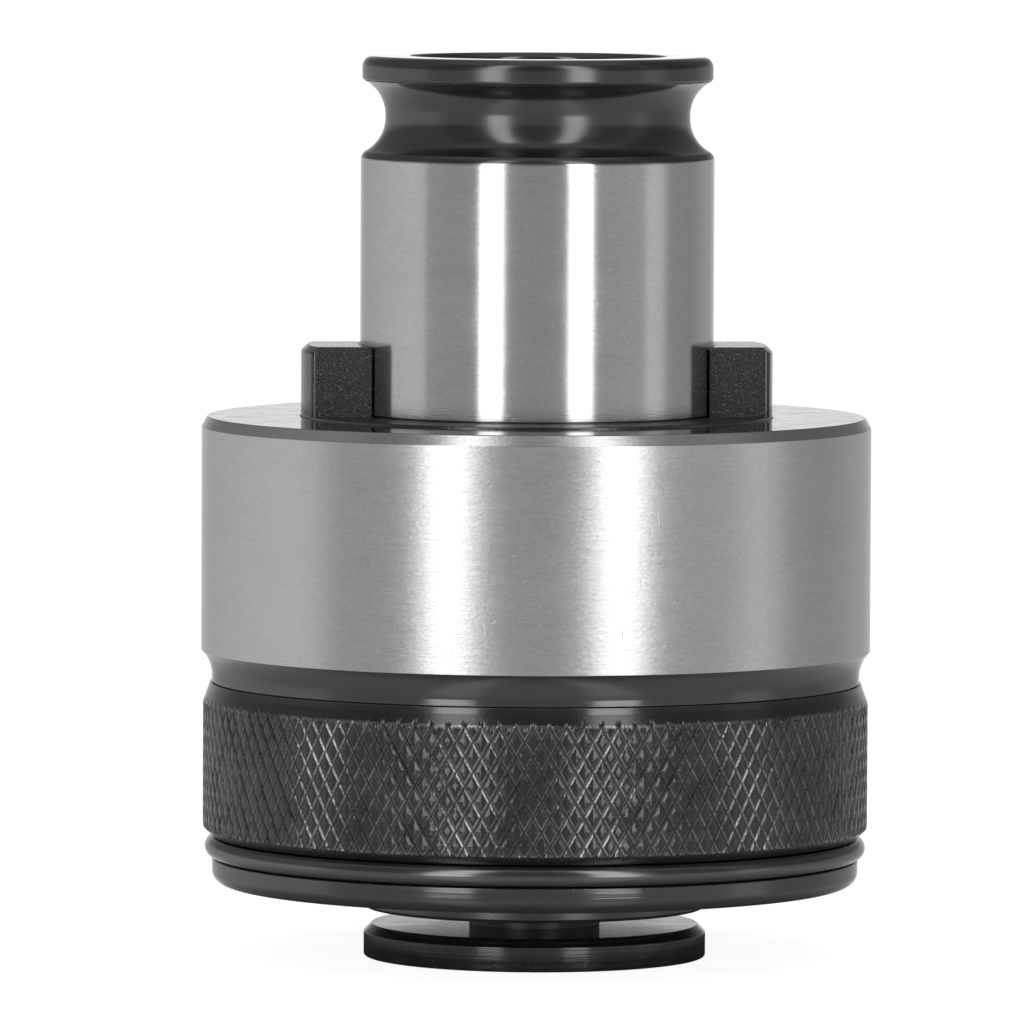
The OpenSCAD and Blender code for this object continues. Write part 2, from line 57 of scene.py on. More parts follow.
def heights(node):
    """Lowest and highest z of a CAD node, in millimetres."""
    low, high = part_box(node)
    return low.z / MM, high.z / MM


def reach(node):
    """Largest radius of a turned CAD node, in millimetres, from its box."""
    low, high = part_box(node)
    return max(high.x, -low.x) / MM


# Sizes in millimetres: shank and flange
BAND_R = reach("clutch_housing")
SKIRT_BOTTOM, SHANK_TOP = heights("clutch_housing")
SHANK_R = 15.0
SHANK_BORE_R = 10.5
BORE_EDGE = 0.4
GROOVE_R = 3.25
GROOVE_DEPTH = 2.08
GROOVE_FLOOR_H = 0.25
GROOVE_Z = SHANK_TOP - 5.0
RIM_R = 14.87
RIM_BOTTOM = GROOVE_Z + 2.95
RIM_ROUND = 0.95
GROUND_TOP = GROOVE_Z - 3.6
BEVEL_FOOT = GROUND_TOP + 0.1
BEVEL_TOP = GROUND_TOP + 0.5
BEVEL_IN = 0.36
BEVEL_ROUND = 0.9
FLANGE_TOP = SHANK_TOP - 30.55
BAND_CHAMFER_R = 0.5
BAND_CHAMFER_H = 0.9

# Sizes in millimetres: ring with the drive dogs, and its seat in the flange
DOG_RING_BOTTOM, DOG_TOP = heights("drive_dog_ring")
DOG_RING_TOP = FLANGE_TOP + 0.2
DOG_RING_R = reach("drive_dog_ring")
DOG_RING_IN_R = 14.85
DOG_IN_R = SHANK_R + 0.04
DOG_HALF_W = 5.1
DOG_FOOT = DOG_RING_TOP - 0.8
DOG_ROUND = 0.3
DOG_CHAMFER = 0.55
SEAT_R = DOG_RING_R + 0.05
SEAT_IN_R = SHANK_R - 0.2
SEAT_TOP = DOG_RING_TOP + 0.1

# Sizes in millimetres: adjusting nut and lock ring
NUT_BOTTOM, NUT_TOP = heights("adjusting_nut")
KNURL_R = reach("adjusting_nut")
NUT_BORE_R = KNURL_R - 2.65
NUT_FLOOR = NUT_BOTTOM + 2.05
NUT_CHAMFER_R = 0.6
NUT_CHAMFER_H = 1.75
SEAM_Z = NUT_TOP + 0.5
LIP_R = KNURL_R - 0.8
LIP_TOP = NUT_BOTTOM + 2.17
LIP_ROUND = 1.1
LOCK_GROOVE_TOP = LIP_TOP + 1.94
LOCK_GROOVE_R = KNURL_R - 2.0
KNURL_LOW = LOCK_GROOVE_TOP + 0.3
KNURL_HIGH = SEAM_Z - 0.4
KNURL_CHAMFER = 0.78
KNURL_GROOVES = 124
KNURL_STEPS = 6
KNURL_DEPTHS = np.array([0.15, 0.035, 0.008, 0.0])
KNURL_UNEVEN = 0.003
KNURL_SEED = 5
KNURL_LEAN = math.radians(30)
LOCK_RING_BOTTOM, LOCK_RING_TOP = heights("lock_ring")
WIRE_R = 0.9
WIRE_END_R = WIRE_R * 0.9
WIRE_BEND_R = 1.15
WIRE_GAP = 5.0
TANG_IN_R = NUT_BORE_R + 0.1

# Sizes in millimetres: neck, skirt and inside of the housing
NECK_R = BAND_R - 0.9
NECK_TOP = NUT_TOP + 1.0
NECK_FILLET = 3.2
NECK_TRIM_DEGREES = 2.2
SHOULDER_Z = SEAM_Z + 0.03
SHOULDER_EDGE = 0.05
SKIRT_R = NUT_BORE_R - 0.05
SKIRT_CHAMFER = 0.4
CUP_R = SKIRT_R - 3.0
UPPER_CUP_R = CUP_R - 0.9
CUP_STEP_Z = heights("ball_carrier")[1]
CEILING_Z = heights("thrust_race")[1]
SNAP_BOTTOM, SNAP_TOP = heights("carrier_snap_ring")
SNAP_GROOVE_R = CUP_R + 0.8

# Sizes in millimetres: collar, release ring and springs
COLLAR_BOTTOM, COLLAR_TOP = heights("spindle_collar")
COLLAR_R = reach("spindle_collar")
SLEEVE_NECK_R = 5.55
COLLAR_BORE_R = SLEEVE_NECK_R + 0.2
NUT_HOLE_R = COLLAR_R + 0.4
HUB_R = 10.0
HUB_BOTTOM = COLLAR_BOTTOM + 1.5
RELEASE_R = reach("release_ring")
RELEASE_TOP = heights("release_ring")[1]
RELEASE_CHAMFER = 0.68
SPIGOT_R = 5.2
DISC_BORE_R = 10.4
DISC_THICK = 1.5
COIL_WIRE_R = 0.5
COIL_TURNS = 3
COIL_POINTS = 241

# Steps of the meshes, and the widths of worn edges in millimetres
COLUMNS = 192
SHELL_COLUMNS = 256
DISC_COLUMNS = 128
DOG_CELLS = 26
DOG_CROWDING = 1.6
SAME_POINT = 1e-5
WEAR_WIDTH = 0.22
NUT_WEAR_WIDTH = 0.35
FULL_WEAR_BEND = 0.9
DOG_SHARP_ANGLE = math.radians(40)


# Profiles and meshes

def rounded(corners, steps=7):
    """A closed profile of [radius, height] points. Each corner (radius, height, fillet) becomes an arc that
    is tangent to both of its sides: it starts fillet * tan(turn / 2) before the corner and turns through the
    angle between them."""
    corners = np.asarray(corners, float)
    spot, fillet = corners[:, :2], corners[:, 2:]
    before = spot - np.roll(spot, 1, 0)
    after = np.roll(spot, -1, 0) - spot
    before /= np.linalg.norm(before, axis=1, keepdims=True)
    after /= np.linalg.norm(after, axis=1, keepdims=True)
    turn = np.arctan2(before[:, 0] * after[:, 1] - before[:, 1] * after[:, 0], (before * after).sum(1))
    start = spot - before * fillet * np.tan(np.abs(turn) / 2)[:, None]
    left = np.stack([-before[:, 1], before[:, 0]], 1) * np.sign(turn)[:, None]
    centre = start + left * fillet
    swing = turn[:, None] * np.linspace(0, 1, steps)[None]
    arm = start - centre
    c, s = np.cos(swing), np.sin(swing)
    points = np.stack([centre[:, :1] + c * arm[:, :1] - s * arm[:, 1:],
                       centre[:, 1:] + s * arm[:, :1] + c * arm[:, 1:]], 2).reshape(-1, 2)
    gap = np.linalg.norm(points - np.roll(points, 1, 0), axis=1)
    return points[gap > SAME_POINT]


def hollow(centre_r, centre_z, radius, start, end, steps):
    """Corners without fillets along an arc about (centre_r, centre_z), from one angle to another in
    degrees."""
    a = np.radians(np.linspace(start, end, steps))
    return np.stack([centre_r + radius * np.cos(a), centre_z + radius * np.sin(a), 0 * a], 1)


def outward(profile):
    """Unit normals of a closed profile that has its solid on the left: the chord between a point's two
    neighbours, turned a quarter to the right."""
    chord = np.roll(profile, -1, 0) - np.roll(profile, 1, 0)
    normal = np.stack([chord[:, 1], -chord[:, 0]], 1)
    return normal / np.linalg.norm(normal, axis=1, keepdims=True)


def edge_wear(profile, width):
    """How sharply a profile turns outwards within a width of each point, from 0 to 1. It marks the edges
    that hands and neighbours rub bright."""
    normal = outward(profile)
    following = np.roll(normal, -1, 0)
    step = np.linalg.norm(np.roll(profile, -1, 0) - profile, axis=1)
    bend = normal[:, 0] * following[:, 1] - normal[:, 1] * following[:, 0]
    middle = (profile + np.roll(profile, -1, 0)) / 2
    near = np.linalg.norm(profile[:, None] - middle[None], axis=2) + step[None] / 2
    worn = (np.exp(-(near / width) ** 2) * np.clip(bend, 0, None)[None]).sum(1)
    return np.clip(worn / FULL_WEAR_BEND, 0, 1)


def write_mesh(name, points, blocks, normals=None, wear=None, finishes=()):
    """A mesh object from points in millimetres. A block is (faces, finish, flat): faces as an array of
    corner numbers, the finish's place in the list, and whether each face keeps its own plane's normal."""
    mesh = bpy.data.meshes.new(name)
    mesh.from_pydata((points * MM).tolist(), [], sum((faces.tolist() for faces, _, _ in blocks), []))
    numbers = [np.full(len(faces), finish, np.int32) for faces, finish, _ in blocks]
    mesh.polygons.foreach_set("material_index", np.concatenate(numbers))
    mesh.polygons.foreach_set("use_smooth", np.ones(len(mesh.polygons), bool))
    if normals is not None:
        corner_normals = []
        for faces, _, flat in blocks:
            if flat:
                a, b, c = (points[faces[:, k]] for k in (0, 1, 2))
                plane = np.cross(b - a, c - a)
                plane /= np.linalg.norm(plane, axis=1, keepdims=True)
                corner_normals.append(np.repeat(plane, faces.shape[1], 0))
            else:
                corner_normals.append(normals[faces.ravel()])
        mesh.normals_split_custom_set(np.concatenate(corner_normals).tolist())
    if wear is not None:
        attribute = mesh.attributes.new("wear", "FLOAT", "POINT")
        attribute.data.foreach_set("value", wear.astype(np.float32))
    mesh.update()
    piece = bpy.data.objects.new(name, mesh)
    bpy.context.collection.objects.link(piece)
    for finish in finishes:
        mesh.materials.append(finish)
    return piece


def ring_quads(rows, columns, close_rows=True):
    """Corner numbers of the quads of a grid that wraps round its columns, and round its rows too if
    close_rows is set."""
    i, j = np.meshgrid(np.arange(rows if close_rows else rows - 1), np.arange(columns), indexing="ij")
    up, on = (i + 1) % rows, (j + 1) % columns
    corners = [i * columns + j, i * columns + on, up * columns + on, up * columns + j]
    return np.stack(corners, 2).reshape(-1, 4)


def turn_profile(profile, columns, stagger=None):
    """Points and normals of a closed profile that is turned about Z: (r cos a, r sin a, z) on a grid of
    profile points by angles. A row's stagger shifts its angles by that share of a step."""
    shift = np.zeros(len(profile)) if stagger is None else stagger
    a = (np.arange(columns)[None] + shift[:, None]) * 2 * np.pi / columns
    turned = [np.stack([row[:, :1] * np.cos(a), row[:, :1] * np.sin(a), row[:, 1:] + 0 * a], 2)
              for row in (profile, outward(profile))]
    return turned[0].reshape(-1, 3), turned[1].reshape(-1, 3)


def lathe(name, corners, finishes, columns=COLUMNS, zones=()):
    """A turned piece. A zone (finish number, low radius, high radius, low z, high z) gives the part of the
    profile inside it that finish, and a later zone wins over an earlier one."""
    profile = rounded(corners)
    points, normals = turn_profile(profile, columns)
    quads = ring_quads(len(profile), columns)
    wear = np.repeat(edge_wear(profile, WEAR_WIDTH), columns)
    r, z = ((profile + np.roll(profile, -1, 0)) / 2).T
    number = np.zeros(len(profile), int)
    for finish, low_r, high_r, low_z, high_z in zones:
        number[(r > low_r) & (r < high_r) & (z > low_z) & (z < high_z)] = finish
    row_number = np.repeat(number, columns)
    blocks = [(quads[row_number == finish], finish, False) for finish in np.unique(number)]
    return write_mesh(name, points, blocks, normals, wear, finishes)


def sweep(name, path, radius, sides, finishes):
    """A round wire along a path of points: at each point a circle in the plane across the path, of that
    point's radius, with a flat face on each end."""
    along = np.gradient(path, axis=0)
    along /= np.linalg.norm(along, axis=1, keepdims=True)
    side = np.cross(along, (0.0, 0.0, 1.0))
    side /= np.linalg.norm(side, axis=1, keepdims=True)
    lift = np.cross(side, along)
    a = np.arange(sides) * 2 * np.pi / sides
    spokes = np.cos(a)[None, :, None] * side[:, None] + np.sin(a)[None, :, None] * lift[:, None]
    points = (path[:, None] + radius[:, None, None] * spokes).reshape(-1, 3)
    last = (len(path) - 1) * sides
    blocks = [(ring_quads(len(path), sides, False)[:, ::-1], 0, False),
              (np.arange(sides)[None], 0, True), (last + np.arange(sides)[None, ::-1], 0, True)]
    return write_mesh(name, points, blocks, spokes.reshape(-1, 3), None, finishes)


# Shader maths

Place = namedtuple("Place", "point x y z r")


class Wire:
    """A shader socket. Operators on it add Math nodes, and node() adds any other node to the same tree."""

    def __init__(self, tree, socket=None):
        self.tree, self.socket = tree, socket

    def node(self, kind, settings=None, inputs=None, output=0):
        """One output of a new node. Its settings are set first, with a ramp's stops as (place, colour), and
        then its sockets get their values or wires."""
        made = self.tree.nodes.new("ShaderNode" + kind)
        for key, value in (settings or {}).items():
            if key == "stops":
                stops = made.color_ramp.elements
                while len(stops) < len(value):
                    stops.new(0.5)
                for stop, (place, shade) in zip(stops, value):
                    stop.position, stop.color = place, shade
            else:
                setattr(made, key, value)
        for key, value in (inputs or {}).items():
            if isinstance(value, Wire):
                self.tree.links.new(value.socket, made.inputs[key])
            else:
                made.inputs[key].default_value = value
        return Wire(self.tree, made.outputs[output] if made.outputs else None)

    def maths(self, operation, *values):
        """A Math node on one or more values or wires."""
        return self.node("Math", {"operation": operation}, dict(enumerate(values)))

    def __add__(self, other):
        return self.maths("ADD", self, other)

    def __sub__(self, other):
        return self.maths("SUBTRACT", self, other)

    def __rsub__(self, other):
        return self.maths("SUBTRACT", other, self)

    def __mul__(self, other):
        return self.maths("MULTIPLY", self, other)

    def __truediv__(self, other):
        return self.maths("DIVIDE", self, other)

    def __pow__(self, other):
        return self.maths("POWER", self, other)

    def __abs__(self):
        return self.maths("ABSOLUTE", self)

    def __lt__(self, other):
        return self.maths("LESS_THAN", self, other)

    __radd__, __rmul__ = __add__, __mul__

    def ease(self, low, high):
        """0 below low, 1 above high, and a smooth rise between them."""
        limits = {"Value": self, "From Min": low, "From Max": high}
        return self.node("MapRange", {"interpolation_type": "SMOOTHSTEP"}, limits)

    def blend(self, low, high):
        """A colour between two colours, by this wire's value."""
        return self.node("Mix", {"data_type": "RGBA"}, {0: self, 6: low, 7: high}, 2)

    def split(self, vector):
        """The x, y and z of a vector."""
        return [self.node("SeparateXYZ", None, {0: vector}, k) for k in range(3)]

    def join(self, x, y, z):
        """A vector from its three parts."""
        return self.node("CombineXYZ", None, {0: x, 1: y, 2: z})

    def place(self):
        """The surface point in millimetres of Object coordinates, with its x, y and z and its distance r
        from the axis."""
        point = self.node("TexCoord", output="Object")
        point = self.node("VectorMath", {"operation": "SCALE"}, {0: point, "Scale": 1 / MM})
        x, y, z = self.split(point)
        return Place(point, x, y, z, (x * x + y * y) ** 0.5)

    def noise(self, vector, scale, detail=2.0, roughness=0.5):
        """Smooth noise from 0 to 1 on a vector."""
        sockets = {"Vector": vector, "Scale": scale, "Detail": detail, "Roughness": roughness}
        return self.node("TexNoise", None, sockets)

    def streaks(self, at, across, along, detail=2.0, roughness=0.5, faces=False):
        """Noise drawn out round the axis: slow in x and y and quick in z. With faces set it is quick in r
        too, which gives rings on the faces across the axis."""
        height = at.z * along + at.r * along if faces else at.z * along
        return self.noise(self.join(at.x * across, at.y * across, height), 1.0, detail, roughness)

    def bump(self, height, strength, distance):
        """A normal from a height, with its distance in millimetres."""
        return self.node("Bump", None, {"Height": height, "Strength": strength, "Distance": distance * MM})


def colour(red, green, blue):
    """A colour for a socket, opaque."""
    return (red, green, blue, 1.0)


def grey(tone):
    """A neutral colour for a socket."""
    return colour(tone, tone, tone)


def bare_tree(owner):
    """The emptied node tree of a new material or world, as a Wire."""
    owner.use_nodes = True
    owner.node_tree.nodes.clear()
    return Wire(owner.node_tree)


def material(name, make):
    """A new material. make(wire) gives the Principled node's inputs, as values or wires."""
    made = bpy.data.materials.new(name)
    wire = bare_tree(made)
    wire.node("OutputMaterial", None, {"Surface": wire.node("BsdfPrincipled", None, make(wire))})
    return made


def nicks(wire, x, y, z, wide, tall, lean, share):
    """Short marks on a turned surface. Its arc and height are cut into random cells, and a share of the
    cells gets one thin mark each."""
    arc = wire.maths("ARCTAN2", x, 0 - y) * SHANK_R
    cell = {"Vector": wire.join((arc + z * lean) / wide, z / tall, 0.0), "Scale": 1.0}
    away = wire.node("TexVoronoi", {"voronoi_dimensions": "2D"}, cell, "Distance")
    chance = wire.node("TexVoronoi", {"voronoi_dimensions": "2D"}, cell, "Color")
    chance = wire.node("SeparateColor", None, {0: chance})
    return (1 - away.ease(0.015, 0.05)) * (chance < share)


def ground_steel(roughness, line_depth, marks, middle_tone):
    """Bright cylindrically ground steel: fine lines round the axis, grain, light smears and short nicks.
    marks sets how many nicks there are, and line_depth is in millimetres."""
    def make(wire):
        at = wire.place()
        lines = wire.streaks(at, 0.5, 4.0, 5.0, 0.75)
        smear = wire.streaks(at, 0.12, 0.25, 3.0)
        grain = wire.streaks(at, 2.6, 6.0, 2.0, 0.6)
        patch = wire.noise(at.point, 0.12).ease(0.42, 0.6)
        upright = nicks(wire, at.x, at.y, at.z, 1.0, 6.0, 0.2, marks)
        slanted = nicks(wire, at.x, at.y, at.z + 31.0, 1.0, 3.0, -0.7, marks * 0.5)
        long_marks = nicks(wire, at.x, at.y, at.z + 7.0, 0.55, 15.0, 0.06, marks * 0.12)
        mark = (upright + slanted) * patch + long_marks
        tone = (lines - 0.5) * 0.4 + (smear - 0.5) * 0.2 + (grain - 0.5) * 0.4 + middle_tone
        return {
            "Base Color": (tone + mark * 0.3).blend(colour(0.40, 0.40, 0.405), colour(0.78, 0.78, 0.785)),
            "Metallic": 1.0,
            "Roughness": roughness + (smear - 0.5) * 0.06 + (lines - 0.5) * 0.05 + mark * 0.15,
            "Normal": wire.bump(lines + grain * 0.5 - mark * 0.2, 1.0, line_depth),
        }
    return make


def turned_black(roughness, line_strength, mottle=0.0):
    """Blackened turned steel: a glossy dark oxide with fine tool lines, a little paler where its edges are
    rubbed. mottle adds shallow waves."""
    def make(wire):
        at = wire.place()
        lines = wire.streaks(at, 0.02, 3.4, 3.0, 0.6, faces=True)
        cloud = wire.noise(at.point, 0.35, 4.0, 0.6)
        grit = wire.noise(at.point, 5.0)
        worn = wire.node("Attribute", {"attribute_name": "wear"}, output="Fac")
        worn = (worn + (grit - 0.5) * 0.9 + (cloud - 0.5) * 0.4 - 0.45).ease(0.3, 0.9)
        dark = (cloud * 0.7 + grit * 0.3).blend(colour(0.005, 0.005, 0.0055), grey(0.014))
        return {
            "Base Color": (worn * 0.45).blend(dark, colour(0.09, 0.088, 0.085)),
            "Roughness": roughness + (cloud - 0.5) * 0.14 + (grit - 0.5) * 0.06 + worn * 0.12,
            "IOR": 2.0,
            "Normal": wire.bump(lines + cloud * mottle, line_strength, 0.025),
        }
    return make


def knurled_black(wire):
    """The nut's blackened knurl: worn flats on the diamonds, dark valleys, and patches of bare metal on the
    flanks between them, which catch the light."""
    at = wire.place()
    cloud = wire.noise(at.point, 0.35, 4.0, 0.6)
    grit = wire.noise(at.point, 6.0)
    proud = at.r.ease(KNURL_R - 0.1, KNURL_R)
    worn = (proud * 0.5 + (grit - 0.5) * 1.2 + (cloud - 0.5) * 0.6).ease(0.45, 0.9)
    flank = at.r.ease(KNURL_R - 0.14, KNURL_R - 0.10) * (1 - at.r.ease(KNURL_R - 0.06, KNURL_R - 0.03))
    bare = flank * (cloud * 0.6 + grit * 0.4).ease(0.38, 0.6)
    dark = (cloud * 0.7 + grit * 0.3).blend(colour(0.006, 0.006, 0.0065), grey(0.020))
    return {
        "Base Color": (worn * 0.10 + bare).blend(dark, colour(0.28, 0.277, 0.274)),
        "Metallic": bare * 0.9,
        "Roughness": 0.16 + (cloud - 0.5) * 0.10 + (grit - 0.5) * 0.12,
        "IOR": 1.71,
        "Normal": wire.bump(grit, 0.25, 0.02),
    }


def cast_black(wire):
    """Blackened casting of the dogs: coarse grain on the driving faces, with pale specks, and smooth turned
    faces."""
    at = wire.place()
    side = abs(at.y).ease(DOG_HALF_W - 0.35, DOG_HALF_W - 0.1)
    raw = side * (1 - at.r.ease(DOG_RING_R - 0.5, DOG_RING_R - 0.3))
    grain = wire.noise(at.point, 4.4, 4.0, 0.65)
    pits = wire.noise(at.point, 1.1)
    speck = wire.noise(at.point, 6.5, 1.0).ease(0.64, 0.70) * raw
    dark = grain.ease(0.3, 0.75).blend(colour(0.003, 0.003, 0.0035), grey(0.010))
    return {
        "Base Color": (speck * 0.8).blend(dark, grey(0.30)),
        "Roughness": 0.15 + raw * 0.07 + (grain - 0.5) * (0.1 + raw * 0.1),
        "IOR": 1.8,
        "Normal": wire.bump(grain * (0.08 + 0.92 * raw) + pits * 0.15, 0.9, 0.24),
    }


def drawn_wire(wire):
    """Blackened spring wire: smooth and glossy, with faint lines along it."""
    at = wire.place()
    cloud = wire.noise(at.point, 0.6, 3.0)
    return {
        "Base Color": cloud.blend(colour(0.005, 0.005, 0.0055), grey(0.015)),
        "Roughness": 0.17 + (cloud - 0.5) * 0.1,
        "IOR": 2.3,
        "Normal": wire.bump(wire.streaks(at, 0.05, 6.0), 0.15, 0.02),
    }


def inner_metal(low, high, roughness):
    """A plain machined metal between two tones, with fine turned lines and a light stain."""
    def make(wire):
        at = wire.place()
        lines = wire.streaks(at, 0.05, 6.0, 3.0, faces=True)
        stain = wire.noise(at.point, 0.4, 3.0)
        return {
            "Base Color": (lines * 0.4 + stain * 0.6).blend(colour(*low), colour(*high)),
            "Metallic": 1.0,
            "Roughness": roughness + (stain - 0.5) * 0.15,
            "Normal": wire.bump(lines, 0.25, 0.015),
        }
    return make


SHANK_STEEL = material("ground_shank_finish", ground_steel(0.13, 0.004, 0.3, 0.5))
BAND_STEEL = material("ground_band_finish", ground_steel(0.235, 0.012, 0.4, 0.64))
BLACK = material("turned_black_finish", turned_black(0.14, 0.4))
GLOSS_BLACK = material("polished_black_finish", turned_black(0.20, 0.05))
SATIN_BLACK = material("satin_black_finish", turned_black(0.28, 0.3))
DULL_BLACK = material("dull_black_finish", turned_black(0.45, 0.4))
FACED_BLACK = material("faced_black_finish", turned_black(0.07, 0.012, 3.0))
ROUGH_FACED_BLACK = material("rough_faced_black_finish", turned_black(0.14, 0.05, 3.0))
KNURL = material("knurled_black_finish", knurled_black)
CAST = material("cast_black_finish", cast_black)
WIRE = material("drawn_wire_finish", drawn_wire)
BRONZE = material("bronze_finish", inner_metal((0.42, 0.24, 0.10), (0.62, 0.40, 0.19), 0.34))
BEARING = material("bearing_steel_finish", inner_metal((0.62, 0.62, 0.63), (0.78, 0.78, 0.79), 0.14))
MACHINED = material("machined_steel_finish", inner_metal((0.32, 0.32, 0.33), (0.52, 0.52, 0.53), 0.32))
SPRING = material("spring_steel_finish", inner_metal((0.12, 0.12, 0.13), (0.26, 0.26, 0.28), 0.3))


# Pieces

def housing():
    """Shank, flange and skirt: one closed profile up the outside and down the bore, turned about Z. The
    groove is two arcs with a short straight floor between them, and the neck runs out to the band along a
    third."""
    groove_r = SHANK_R - GROOVE_DEPTH + GROOVE_R
    band_low = NECK_TOP + math.sqrt(NECK_FILLET ** 2 - (NECK_FILLET + NECK_R - BAND_R) ** 2)
    neck_end = math.degrees(math.acos((BAND_R - NECK_R - NECK_FILLET) / NECK_FILLET)) + NECK_TRIM_DEGREES
    corners = np.concatenate([
        [(CUP_R, SKIRT_BOTTOM, 0.15), (SKIRT_R - SKIRT_CHAMFER, SKIRT_BOTTOM, 0.1),
         (SKIRT_R, SKIRT_BOTTOM + SKIRT_CHAMFER, 0.1), (SKIRT_R, SHOULDER_Z, 0.1),
         (NECK_R - SHOULDER_EDGE, SHOULDER_Z, 0.02), (NECK_R, SHOULDER_Z + SHOULDER_EDGE, 0.02)],
        hollow(NECK_R + NECK_FILLET, NECK_TOP, NECK_FILLET, 180, neck_end, 18),
        [(BAND_R, band_low, 0.08), (BAND_R, FLANGE_TOP - BAND_CHAMFER_H, 0.12),
         (BAND_R - BAND_CHAMFER_R, FLANGE_TOP, 0.15), (SEAT_R, FLANGE_TOP, 0.1),
         (SEAT_R, DOG_RING_BOTTOM, 0.1), (SEAT_IN_R, DOG_RING_BOTTOM, 0.1), (SEAT_IN_R, SEAT_TOP, 0.05),
         (SHANK_R, SEAT_TOP, 0.05), (SHANK_R, BEVEL_FOOT, BEVEL_ROUND), (SHANK_R - BEVEL_IN, BEVEL_TOP, 0.1)],
        hollow(groove_r, GROOVE_Z - GROOVE_FLOOR_H, GROOVE_R, 241, 180, 20),
        hollow(groove_r, GROOVE_Z, GROOVE_R, 180, 116, 20),
        [(RIM_R, RIM_BOTTOM, 0.35), (RIM_R, SHANK_TOP, RIM_ROUND),
         (SHANK_BORE_R + BORE_EDGE, SHANK_TOP, 0.4), (SHANK_BORE_R, SHANK_TOP - BORE_EDGE, 0.4),
         (SHANK_BORE_R, CEILING_Z, 0.2), (UPPER_CUP_R, CEILING_Z, 0.2), (UPPER_CUP_R, CUP_STEP_Z, 0.1),
         (CUP_R, CUP_STEP_Z, 0.1), (CUP_R, SNAP_TOP, 0.05), (SNAP_GROOVE_R, SNAP_TOP, 0.05),
         (SNAP_GROOVE_R, SNAP_BOTTOM, 0.05), (CUP_R, SNAP_BOTTOM, 0.05)],
    ])
    # Each zone reaches a little past the faces that it covers
    shank, band, gloss, faced = 1, 2, 3, 4
    zones = [(gloss, SHANK_BORE_R + 0.1, BAND_R + 1, FLANGE_TOP - BAND_CHAMFER_H, SHANK_TOP + 1),
             (faced, DOG_RING_R, BAND_R, FLANGE_TOP - 0.03, FLANGE_TOP + 0.03),
             (faced, SHANK_BORE_R + 0.1, RIM_R - 0.5, SHANK_TOP - 0.12, SHANK_TOP + 1),
             (shank, SHANK_R - 0.06, SHANK_R + 0.06, SEAT_TOP, GROUND_TOP),
             (band, BAND_R - BAND_CHAMFER_R - 0.01, BAND_R + 0.06, band_low, FLANGE_TOP - 0.04)]
    finishes = [BLACK, SHANK_STEEL, BAND_STEEL, GLOSS_BLACK, FACED_BLACK]
    return lathe("housing_shell", corners, finishes, SHELL_COLUMNS, zones)


def rounded_block(half, fillet, cells):
    """Points and quads of a box with rounded edges: a grid on each side of a cube, crowded towards its
    edges, clipped to an inner core and pushed out from it by the fillet. half gives the box's half sizes.
    Points that two sides share are merged."""
    t = np.linspace(-1, 1, cells + 1)
    t = np.sign(t) * (1 - (1 - np.abs(t)) ** DOG_CROWDING)
    u, v = np.meshgrid(t, t, indexing="ij")
    one = np.ones_like(u)
    sides = (one, u, v), (-one, v, u), (v, one, u), (u, -one, v), (u, v, one), (v, u, -one)
    outer = np.stack([np.stack(side, 2) for side in sides]).reshape(-1, 3) * half
    core = np.clip(outer, fillet - half, half - fillet)
    away = outer - core
    points = core + fillet * away / np.linalg.norm(away, axis=1, keepdims=True)
    n = cells + 1
    i, j = np.meshgrid(np.arange(cells), np.arange(cells), indexing="ij")
    quad = np.stack([i * n + j, (i + 1) * n + j, (i + 1) * n + j + 1, i * n + j + 1], 2).reshape(-1, 4)
    quads = (quad[None] + np.arange(len(sides))[:, None, None] * n * n).reshape(-1, 4)
    merged, place = np.unique(np.round(points, 6), axis=0, return_inverse=True)
    return merged, place.ravel()[quads]


def dog_ring():
    """Cast ring with its two dogs. A dog is a rounded block (a, b, c) bent to the ring: b runs across it, c
    up it, and a moves out along the radius, x = sqrt(r^2 - b^2), with its top outer edge chamfered."""
    ring = rounded([(DOG_RING_IN_R, DOG_RING_BOTTOM, 0.2), (DOG_RING_R, DOG_RING_BOTTOM, 0.2),
                    (DOG_RING_R, DOG_RING_TOP, 0.1), (DOG_RING_IN_R, DOG_RING_TOP, 0.1)])
    ring_points, _ = turn_profile(ring, COLUMNS)
    half = np.array([(DOG_RING_R - DOG_IN_R) / 2, DOG_HALF_W, (DOG_TOP - DOG_FOOT) / 2])
    block, quads = rounded_block(half, DOG_ROUND, DOG_CELLS)
    a, b, c = block.T
    chamfer = np.clip((a + c) - (half[0] + half[2] - DOG_CHAMFER), 0, None) / 2
    radius = (DOG_IN_R + DOG_RING_R) / 2 + a - chamfer
    dog = np.stack([np.sqrt(radius ** 2 - b ** 2), b, DOG_FOOT + half[2] + c - chamfer], 1)
    points = np.concatenate([ring_points, dog, dog * (-1, -1, 1)])
    starts = len(ring_points), len(ring_points) + len(dog)
    blocks = [(ring_quads(len(ring), COLUMNS), 0, False)] + [(quads + start, 0, False) for start in starts]
    piece = write_mesh("dog_ring", points, blocks, finishes=[CAST])
    piece.data.set_sharp_from_angle(angle=DOG_SHARP_ANGLE)
    return piece


def knurl_depths(rows, columns, stagger):
    """Depth of the knurl at each point of its staggered lattice. Both families of grooves lie along the
    lattice's diagonals, so the steps to the nearest groove give the depth, from a valley to the low crown
    of a diamond. The cut is slightly uneven."""
    along = np.arange(columns)[None] + stagger[:rows, None]
    lift = 0.5 * np.arange(rows)[:, None]
    steps = np.stack([np.mod(along + lift, KNURL_STEPS), np.mod(along - lift, KNURL_STEPS)])
    steps = np.minimum(steps, KNURL_STEPS - steps).min(0)
    depth = np.interp(steps, np.arange(len(KNURL_DEPTHS)), KNURL_DEPTHS)
    uneven = np.random.default_rng(KNURL_SEED).normal(0, KNURL_UNEVEN, depth.shape)
    return np.clip(depth + uneven, 0, None)


